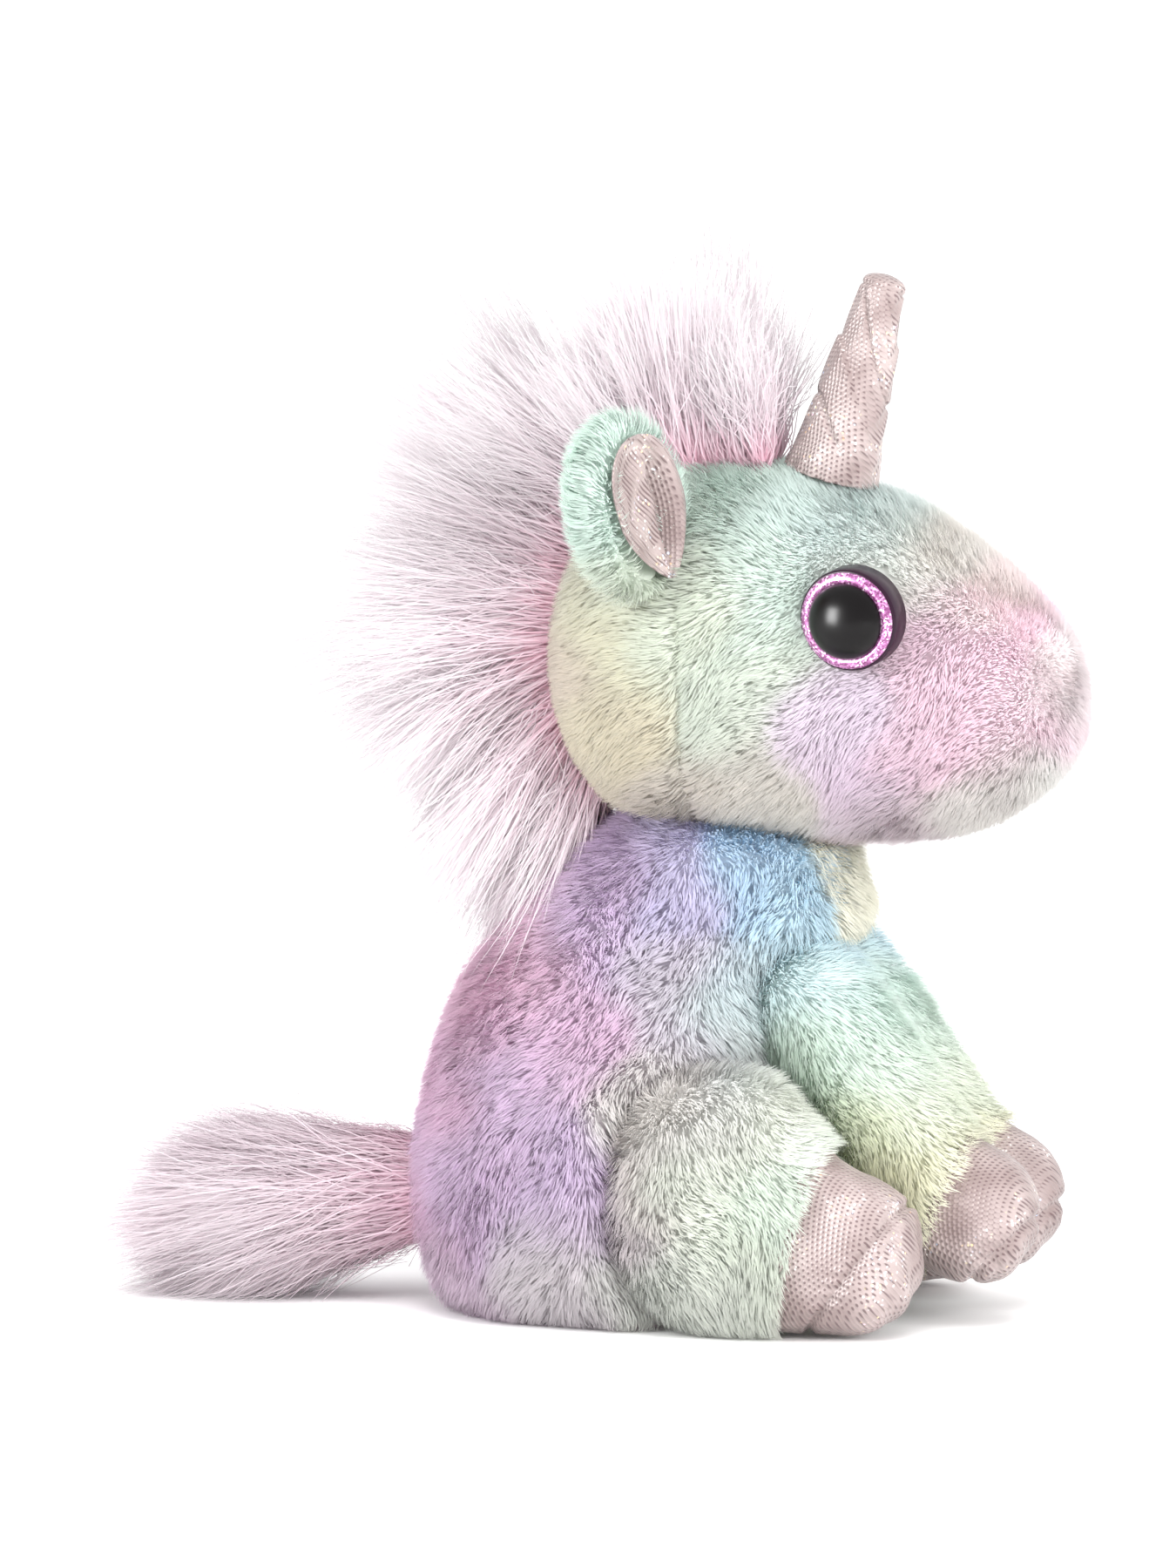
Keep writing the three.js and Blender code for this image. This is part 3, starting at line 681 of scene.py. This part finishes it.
dress_skin(body_skin, BODY_SPOTS)
body_pile = grow_pile("body_pile", body_skin, lambda p, n: np.array([0, 0.2, -1]), BODY_SPOTS, 3.3, 5.8,
                      plush_pile, body_wanted, neighbours=[head_tree], tufting=0.45)
for piece in (body_skin, *body_pile):
    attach(piece, "body")
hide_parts("body_cover", "body_stuffing")

neck_plug = skin_from("neck_plug", "neck_stuffing", 3.0, 0.0, plush_backing, 0.4)
dress_skin(neck_plug, BODY_SPOTS)
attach(neck_plug, "neck")
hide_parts("neck_stuffing")

# %% [markdown]
# ## Legs and hooves
# Each leg is one stuffed tube. The foil-dot hoof is sewn over its end, so the leg's skin is parted
# at that seam: the foil runs a little under the pile, and the sole panel's own seam is drawn in and puckered.

# %% Legs
LEG_CUTS = {"front": (72.3, 29.4, 24), "hind": (43.0, 24.0, 14)}
SOLE_SEAMS = {"front": (85.6, 17.6, 45), "hind": (60.3, 21.5, 37)}
HOOF_TUCK = 1.5


def ahead_of(points, cut):
    fwd, height, tilt = cut
    tilt = math.radians(tilt)
    return ((-points[..., 1] / MM - fwd) * math.cos(tilt) - (points[..., 2] / MM - height) * math.sin(tilt))


def make_leg(kind, side_name, spots, brush):
    body = f"{kind}_leg_{side_name}"
    whole = leg_skins[kind, side_name]
    cut = LEG_CUTS[kind]
    points, groups = keep_faces(whole, lambda p: ahead_of(p, cut) < 2.0)
    leg = mesh_object(f"{body}_skin", points, groups, plush_backing)
    points, groups = keep_faces(whole, lambda p: ahead_of(p, cut) > -HOOF_TUCK)
    hoof = mesh_object(f"{body}_hoof", points, groups, foil_fabric)
    bpy.data.objects.remove(whole)
    finer = hoof.modifiers.new("finer", "SUBSURF")
    finer.levels = 1
    baked(hoof)
    points, normals, _ = arrays(hoof)
    seam = ahead_of(points, SOLE_SEAMS[kind])
    across = points[:, 0] / MM
    along_seam = points[:, 2] / MM * 1.3 + across
    pucker = 0.25 * np.sin(along_seam * 1.9) * np.exp(-(np.abs(seam) - 1.6) ** 2 / 3.0)
    crease = 1.3 * np.exp(-(seam / 0.9) ** 2)
    wrinkle = 0.35 * np.sin(along_seam * 0.45 + seam * 0.3) * np.clip(seam / 6 + 0.6, 0, 1)
    set_points(hoof, points + normals * ((0.5 + pucker + wrinkle - crease) * MM)[:, None])
    low = arrays(hoof)[0]
    low[:, 2] = np.maximum(low[:, 2], 0.0003)
    set_points(hoof, low)
    dress_skin(leg, spots)

    def leg_wanted(points, facing):
        return ahead_of(points, cut) < 0.4

    pile = grow_pile(f"{body}_pile", leg, brush, spots, 3.3, 5.7, plush_pile, leg_wanted,
                     neighbours=[body_tree], tufting=0.3)
    for piece in (leg, *pile, hoof):
        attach(piece, body)
    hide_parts(f"{kind}_leg_cover_{side_name}", f"{kind}_leg_stuffing_{side_name}")
    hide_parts(f"{kind}_hoof_cover_{side_name}")


for side_name in ("right", "left"):
    make_leg("front", side_name, FRONT_LEG_SPOTS, lambda p, n: np.array([0, -0.75, -0.66]))
    make_leg("hind", side_name, HIND_LEG_SPOTS + BODY_SPOTS, lambda p, n: np.array([0, -0.7, -0.7]))

# %% [markdown]
# ## Horn
# A narrow cone of the foil-dot fabric over firm fill. A thread wound round it twice draws a
# spiral crease, the tip is folded over, and the base is gathered where it is sewn to the head.

# %% Horn
HORN_LEAN = math.radians(15.4)
HORN_BASE_RADIUS, HORN_TIP_RADIUS = 11.4, 4.9
horn_along = np.array([0, -math.sin(HORN_LEAN), math.cos(HORN_LEAN)])
horn_ahead = np.array([0, -math.cos(HORN_LEAN), -math.sin(HORN_LEAN)])
horn_side = np.array([1.0, 0, 0])
horn_base = np.array([0, -0.041, 0.2002])
horn_length = (horn_high[2] - horn_base[2] - 4.6 * MM * math.sin(HORN_LEAN)) / math.cos(HORN_LEAN)


def make_horn():
    rounds, steps = 96, 120
    turn = np.linspace(0, 2 * math.pi, rounds, endpoint=False)
    rise = np.linspace(0, 1, steps)
    t, a = np.meshgrid(rise, turn, indexing="ij")
    radius = HORN_BASE_RADIUS + (HORN_TIP_RADIUS - HORN_BASE_RADIUS) * t
    radius = radius * np.sqrt(np.clip(1 - ((t - 0.955) / 0.047).clip(0) ** 2, 0.0, 1))
    spiral = (t * 1.75 + 0.5 * np.sin(a + 0.35) + 0.33) % 1.0 - 0.5
    strength = np.clip((t - 0.1) / 0.1, 0, 1) * np.clip((0.93 - t) / 0.05, 0, 1)
    radius = radius - 1.0 * np.exp(-(spiral / 0.03) ** 2) * strength
    radius = radius + 0.45 * np.clip(spiral * 2, -1, 1) * strength
    fold = np.exp(-((t - 0.93 + 0.03 * np.cos(a)) / 0.008) ** 2)
    radius = radius - 0.6 * fold
    gather = 0.35 * np.sin(a * 17) * np.exp(-t / 0.06) + 0.16 * np.sin(a * 9 + t * 21)
    radius = (radius + gather) * MM
    lift = t * horn_length
    points = (horn_base + lift[..., None] * horn_along
              + (radius * np.cos(a))[..., None] * horn_side + (radius * np.sin(a))[..., None] * horn_ahead)
    grid = np.arange(rounds * steps).reshape(steps, rounds)
    nxt = np.roll(grid, -1, axis=1)
    quads = np.stack([grid[:-1], nxt[:-1], nxt[1:], grid[1:]], axis=-1).reshape(-1, 4)
    flat = points.reshape(-1, 3)
    tip = len(flat)
    flat = np.vstack([flat, horn_base + horn_along * horn_length, horn_base])
    caps = [[grid[-1, k], nxt[-1, k], tip] for k in range(rounds)]
    caps += [[nxt[0, k], grid[0, k], tip + 1] for k in range(rounds)]
    return mesh_object("horn", flat, [quads, np.array(caps)], foil_fabric)


horn = make_horn()
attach(horn, "horn")
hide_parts("horn_cover", "horn_stuffing")
print("horn length", round(horn_length / MM, 1), "mm")

# %% [markdown]
# ## Ears
# Each ear is a furry back and a leaf of foil-dot fabric, sewn together and turned so the foil
# lies in a hollow. The pile wraps over the rim. The leaf's front edge is folded forward.

# %% Ears
def ear_frame(side_name):
    side = -1 if side_name == "right" else 1
    low, high = (np.array(c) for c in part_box(f"ear_back_{side_name}"))
    rise = unit(np.array([side * 0.3, 0.14, 0.94]))
    out = np.array([side * 0.9, 0.4, 0])
    out = unit(out - out.dot(rise) * rise)
    front = np.cross(rise, out)
    if front[1] > 0:
        front = -front
    return low, high, rise, out, front


def make_ear(side_name):
    body = f"ear_{side_name}"
    skin = skin_from(f"{body}_skin", f"ear_back_{side_name}", 1.1, 0.2, plush_backing, 0.3)
    dress_skin(skin, EAR_SPOTS)
    low, high, rise, out, front = ear_frame(side_name)
    lining_low, lining_high = (np.array(c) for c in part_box(f"ear_lining_{side_name}"))
    middle = (lining_low + lining_high) / 2

    def ear_wanted(points, facing):
        across = (points - middle) @ out / (11.2 * MM)
        along = (points - middle) @ rise / (17.8 * MM)
        return ~((facing @ front > 0.2) & (across ** 2 + along ** 2 < 1))

    pile = grow_pile(f"{body}_pile", skin, lambda p, n: rise * 0.5 + out * 0.5 - front * 0.5, EAR_SPOTS, 3.8,
                     5.4, plush_pile, ear_wanted, tuft_mm=3.0, tufting=0.4)
    rows, columns = 72, 60
    v, u = np.meshgrid(np.linspace(-1, 1, rows), np.linspace(-1, 1, columns), indexing="ij")
    point = np.where(v < 0, 1.25, 2.3)
    half_wide = 12.4 * np.clip(1 - np.abs(v) ** (point * 1.25), 0, 1) ** np.where(v < 0, 0.85, 0.5)
    shear = 2.6 * v - 0.6
    dish = 2.6 * (1 - u ** 2) * np.sqrt(np.clip(1 - v ** 2, 0, 1))
    slot = 3.2 * np.exp(-((u + 0.5 + 0.12 * v) / 0.13) ** 2) * np.clip(1 - ((v + 0.12) / 0.75) ** 4, 0, 1)
    lip = 2.2 * np.exp(-((u + 0.78) / 0.16) ** 2) * np.clip(1 - v ** 4, 0, 1)
    wrinkle = 0.22 * np.sin(v * 11 + u * 4) * (1 - u ** 2)
    centre = middle + front * 2.6 * MM
    points = (centre + (v * 19.5 * MM)[..., None] * rise + ((u * half_wide + shear) * MM)[..., None] * out
              - ((dish + slot + wrinkle - lip - 0.8) * MM)[..., None] * front)
    grid = np.arange(rows * columns).reshape(rows, columns)
    quads = np.stack([grid[:-1, :-1], grid[:-1, 1:], grid[1:, 1:], grid[1:, :-1]], axis=-1).reshape(-1, 4)
    lining = mesh_object(f"{body}_lining_leaf", points.reshape(-1, 3), [quads], foil_fabric)
    thick = lining.modifiers.new("thick", "SOLIDIFY")
    thick.thickness = 0.6 * MM
    baked(lining)
    for piece in (skin, *pile, lining):
        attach(piece, body)
    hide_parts(f"ear_back_{side_name}")
    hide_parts(f"ear_lining_{side_name}")


for side_name in ("right", "left"):
    make_ear(side_name)


# %% [markdown]
# ## Mane and tail
# Long faux hair, 34 to 54 mm, pink at the backing and pale at the tips. It hangs together in locks:
# each hair starts in its own place and bends towards its lock, and the tips are left uneven.

# %% Long hair
HAIR_BATCH = 16000
HAIR_STEPS = 6


HAIR_CEILING = 0.251


def grow_hair(name, roots, away, lengths, lock_count, facing, droop, curl, hold, looks, width_mm=0.17):
    count = len(roots)
    locks = seeds.choice(count, lock_count, replace=False)
    member = nearest(roots[locks], roots)
    lock_way = away[locks] + seeds.normal(0, 0.12, (lock_count, 3))
    lock_length = lengths[locks] * (0.5 + 0.74 * seeds.random(lock_count))
    lock_tint = seeds.random(lock_count)
    lock_curl = seeds.normal(0, curl, (lock_count, 3))
    own = seeds.normal(0, 0.13, (count, 3))
    wave = seeds.normal(0, 0.035, (count, 3))
    long = (0.5 * lock_length[member] + 0.5 * lengths * (0.55 + 0.6 * seeds.random(count)))[:, None]
    levels = np.linspace(0, 1, HAIR_STEPS)
    rows = []
    previous = roots - away * MM
    for number, t in enumerate(levels):
        share = hold * t ** 0.8
        way = away * (1 - share) + lock_way[member] * share + own
        spine = roots + way * long * t + np.array(droop) * long * t ** 2 + lock_curl[member] * long * t ** 2.2
        spine += (roots[locks][member] - roots) * 0.5 * hold * t ** 1.3 + wave * long * math.sin(t * 7)
        side = unit(np.cross(facing, spine - previous)) * MM * width_mm * (1 - 0.8 * t ** 1.6)
        previous = spine
        rows += [spine - side, spine + side] if number < HAIR_STEPS - 1 else [spine]
    tint = 0.55 * lock_tint[member] + 0.45 * seeds.random(count)
    shading = unit(facing + seeds.normal(0, 0.2, (count, 3)) + 0.3 * lock_curl[member])
    per = HAIR_STEPS * 2 - 1
    along = np.repeat(levels, 2)[:per]
    made = []
    for first in range(0, count, HAIR_BATCH):
        part = slice(first, first + HAIR_BATCH)
        points = np.stack([row[part] for row in rows], axis=1).reshape(-1, 3)
        points[:, 2] = np.maximum(points[:, 2], 0.0004)
        over = np.maximum(points[:, 2] - HAIR_CEILING, 0)
        points[:, 2] += 0.012 * np.tanh(over / 0.024) - over
        number = len(points) // per
        base = (np.arange(number) * per)[:, None]
        quads = np.concatenate([base + np.array([2 * k + 1, 2 * k, 2 * k + 2, 2 * k + 3])
                                for k in range(HAIR_STEPS - 2)])
        ends = base + np.array([per - 2, per - 3, per - 1])
        label = f"{name}_{first // HAIR_BATCH + 1}"
        strands = mesh_object(label, points, [quads, ends], looks)
        strands.data.normals_split_custom_set_from_vertices(np.repeat(shading[part], per, axis=0))
        number_layer(strands, "along", np.tile(along, number))
        number_layer(strands, "tint", np.repeat(tint[part], per))
        made.append(strands)
    print(name, count, "hairs in", len(made), "pieces")
    return made


MANE_MIDDLE = np.array([0.0, -0.008, 0.158])


def crest_point(degrees):
    way = Vector((0, -math.cos(math.radians(degrees)), math.sin(math.radians(degrees))))
    start = Vector(MANE_MIDDLE) + way * 0.15
    hit = head_tree.ray_cast(start, -way)[0]
    return np.array(hit)


crest_degrees = np.arange(52, 236, 4)
crest = np.array([crest_point(d) for d in crest_degrees])


def make_mane():
    count = 44000
    degrees = 66 + 165 * seeds.random(count) ** 0.95
    offset = seeds.uniform(-1, 1, count)
    roots = np.stack([np.interp(degrees, crest_degrees, crest[:, k]) for k in range(3)], axis=1)
    angle = np.radians(degrees)
    none = np.zeros(count)
    radial = np.stack([none, -np.cos(angle), np.sin(angle)], axis=1)
    trail = np.stack([none, np.sin(angle), np.cos(angle)], axis=1)
    roots[:, 0] += offset * 5.5 * MM
    roots -= radial * 0.4 * MM
    lean_back = np.interp(degrees, [60, 75, 92, 115, 140, 165, 190, 220],
                          [0.62, 0.42, 0.22, 0.26, 0.26, 0.1, 0.15, 0.5])
    away = unit(radial + trail * lean_back[:, None] + np.stack([offset * 0.3, none, none], axis=1))
    reach = np.interp(degrees, [60, 72, 92, 110, 140, 165, 190, 206, 222],
                      [34, 46, 52, 48, 54, 54, 52, 52, 50]) * MM
    facing = unit(np.stack([np.sign(offset) * 1.0, 0.1 * trail[:, 1], 0.45 + none], axis=1))
    return grow_hair("mane", roots, away, reach, 150, facing, (0, 0.03, -0.1), 0.16, 0.72, mane_hair_looks)


mane = make_mane()
for piece in mane:
    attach(piece, "head")
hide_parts("mane_hair")

root_low, root_high = (np.array(c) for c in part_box("tail_root"))
tail_pivot = (root_low + root_high) / 2


def make_tail():
    count = 36000
    run = seeds.random(count) ** 1.2
    turn = seeds.uniform(0, 2 * math.pi, count)
    start_y = tail_pivot[1] - 7 * MM
    core = np.interp(run, [0, 0.3, 1], [13, 13.5, 11]) * MM * np.sqrt(seeds.random(count))
    roots = np.stack([core * np.cos(turn), start_y + run * 34 * MM,
                      tail_pivot[2] + (1 - 4 * run) * MM + core * np.sin(turn)], axis=1)
    outward = np.stack([np.cos(turn), np.zeros(count), np.sin(turn)], axis=1)
    away = unit(outward * 0.1 + np.array([0, 1, -0.1]))
    reach = np.interp(run, [0, 1], [50, 41]) * MM
    facing = unit(outward + np.array([0, 0.1, 0.1]))
    return grow_hair("tail", roots, away, reach, 130, facing, (0, 0, -0.06), 0.05, 0.6, tail_hair_looks)


tail = make_tail()
for piece in tail:
    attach(piece, "tail")
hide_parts("tail_hair")

tail_stub = skin_from("tail_stub", "tail_root", 0.9, 0.0, tail_hair_looks, 0.2)
number_layer(tail_stub, "along", np.zeros(len(tail_stub.data.vertices)))
number_layer(tail_stub, "tint", np.full(len(tail_stub.data.vertices), 0.5))
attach(tail_stub, "tail_stub")
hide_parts("tail_root")

# %% [markdown]
# ## Eyes
# Safety eyes: a dark plum-black plastic rim, a ring of mauve-pink glitter under clear varnish, and a
# polished black dome. They are turned as round profiles so their edges stay true.

# %% Eye materials
def plastic(name, colour, rough, coat):
    made, tree = material(name)
    place = node(tree, "ShaderNodeTexCoord")
    grain = node(tree, "ShaderNodeTexNoise", {"Vector": place.outputs["Object"], "Scale": 900.0})
    tone = node(tree, "ShaderNodeMapRange", {"Value": grain.outputs[0], "To Min": 0.9, "To Max": 1.1})
    tinted = node(tree, "ShaderNodeVectorMath", {0: linear(colour), "Scale": tone.outputs[0]},
                  operation="SCALE")
    surface(tree, Base_Color=tinted.outputs[0], Roughness=rough, Coat_Weight=coat, Coat_Roughness=0.04,
            Specular_IOR_Level=0.2, IOR=1.49)
    return made


dome_plastic = plastic("polished_black_dome", "#050304", 0.3, 0.0)
rim_plastic = plastic("plum_black_rim", "#210c1d", 0.3, 0.0)
washer_plastic = plastic("milky_washer_plastic", "#e6e4df", 0.45, 0.0)


def glitter_material():
    made, tree = material("mauve_glitter")
    place = node(tree, "ShaderNodeTexCoord")
    flakes = node(tree, "ShaderNodeTexVoronoi", {"Vector": place.outputs["Object"], "Scale": 2200.0})
    pick = node(tree, "ShaderNodeSeparateColor", {"Color": flakes.outputs["Color"]})
    colours = ramp(tree, pick.outputs[0], [(0.0, "#6a2c58"), (0.35, "#8d4a80"), (0.65, "#b070a4"),
                                           (0.86, "#d9a3cf"), (1.0, "#ffe6f8")])
    bump = node(tree, "ShaderNodeBump", {"Height": pick.outputs[1], "Strength": 0.8, "Distance": 0.0003})
    surface(tree, Base_Color=colours.outputs["Color"], Metallic=0.45, Roughness=0.3, Normal=bump.outputs[0],
            Coat_Weight=0.5, Coat_Roughness=0.08)
    return made


eye_glitter = glitter_material()


# %% Eyes
EYE_TURNED_BACK = math.radians(11)
EYE_TURNED_DOWN = math.radians(5)


def turned(name, profile, side, looks, rounds=96):
    angles = np.linspace(0, 2 * math.pi, rounds, endpoint=False)
    look = unit(np.array([side, math.tan(EYE_TURNED_BACK), -math.tan(EYE_TURNED_DOWN)]))
    level = unit(np.cross(look, [0, 0, side]))
    upright = np.cross(look, level)
    seat = np.array([side * (eye_front - 2.5) * MM, eye_middle[1], eye_middle[2]])
    rings = []
    for radius, out in profile:
        rings.append(seat + look * (out - eye_front + 2.5) * MM
                     + radius * MM * (np.cos(angles)[:, None] * level + np.sin(angles)[:, None] * upright))
    points = np.concatenate(rings)
    grid = np.arange(len(points)).reshape(len(profile), rounds)
    nxt = np.roll(grid, -1, axis=1)
    quads = np.stack([grid[:-1], grid[1:], nxt[1:], nxt[:-1]], axis=-1).reshape(-1, 4)
    return mesh_object(name, points, [quads], looks)


eye_front = abs(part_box("eye_dome_right")[1][0]) / MM + 0.6
for side_name, side in (("right", -1), ("left", 1)):
    f = eye_front
    rim = [(0.01, f - 8), (11.4, f - 8), (12.2, f - 7), (12.2, f - 0.9),
           (12.0, f - 0.2), (11.7, f), (0.01, f)]
    ring = [(9.0, f + 0.05), (11.6, f + 0.1), (11.5, f + 0.5),
            (10.6, f + 1.0), (9.0, f + 1.4), (9.0, f + 0.05)]
    turns = np.linspace(0, math.pi / 2, 24)
    dome = [(0.01, f + 0.02)] + [(max(0.01, 9.3 * math.cos(t)), f + 0.1 + 7.4 * math.sin(t)) for t in turns]
    parts = [("rim", rim, rim_plastic, "black_plastic"), ("ring", ring, eye_glitter, "glitter_ring"),
             ("dome", dome, dome_plastic, "black_plastic")]
    for part, profile, looks, slot in parts:
        made = turned(f"eye_{part}_turned_{side_name}", profile, side, looks)
        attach(made, "head")
        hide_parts(f"eye_{part}_{side_name}")
    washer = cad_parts[f"eye_washer_{side_name}"]
    for index in range(len(washer.material_slots)):
        washer.material_slots[index].material = washer_plastic

# %% [markdown]
# ## Floor and light
# A plain white floor and an even white surround, with soft lamps behind, above and in front of the
# toy's right side. The fourth lamp shows only in gloss: the eye takes its soft highlight from it.

# %% Floor and light
floor_looks, floor_tree = material("white_floor")
floor_noise = node(floor_tree, "ShaderNodeTexNoise", {"Scale": 3.0})
floor_tone = ramp(floor_tree, floor_noise.outputs[0], [(0.0, "#fbfbfb"), (1.0, "#fefefe")])
surface(floor_tree, Base_Color=floor_tone.outputs["Color"], Roughness=0.9, Specular_IOR_Level=0.0)
edge = 4.0
floor = mesh_object("floor", [(-edge, -edge, 0), (edge, -edge, 0), (edge, edge, 0), (-edge, edge, 0)],
                    [np.array([[0, 1, 2, 3]])], floor_looks, smooth=False)

SURROUND_STRENGTH = 1.2
scene = bpy.context.scene
world = bpy.data.worlds.new("white_surround")
world.use_nodes = True
world.node_tree.nodes["Background"].inputs[0].default_value = (1, 1, 1, 1)
world.node_tree.nodes["Background"].inputs[1].default_value = SURROUND_STRENGTH
scene.world = world
scene.view_settings.view_transform = "Standard"


def soft_lamp(name, place, wide, tall, power, shows_in_gloss):
    data = bpy.data.lights.new(name, "AREA")
    data.shape = "RECTANGLE"
    data.size = wide
    data.size_y = tall
    data.energy = power
    lamp = bpy.data.objects.new(name, data)
    lamp.location = place
    lamp.rotation_euler = (Vector(place) - Vector((0, 0, 0.12))).to_track_quat("Z", "Y").to_euler()
    lamp.visible_glossy = shows_in_gloss
    scene.collection.objects.link(lamp)
    return lamp


soft_lamp("key", (-1.02, 0.9, 0.6), 0.5, 0.5, 11.0, False)
soft_lamp("top", (-0.5, -0.2, 1.5), 1.0, 1.0, 14.0, False)
soft_lamp("front", (-1.0, -1.4, 0.5), 1.0, 1.0, 34.0, False)
soft_lamp("catch", (-1.05, 0.85, 0.3), 0.55, 0.9, 70.0, True).visible_diffuse = False
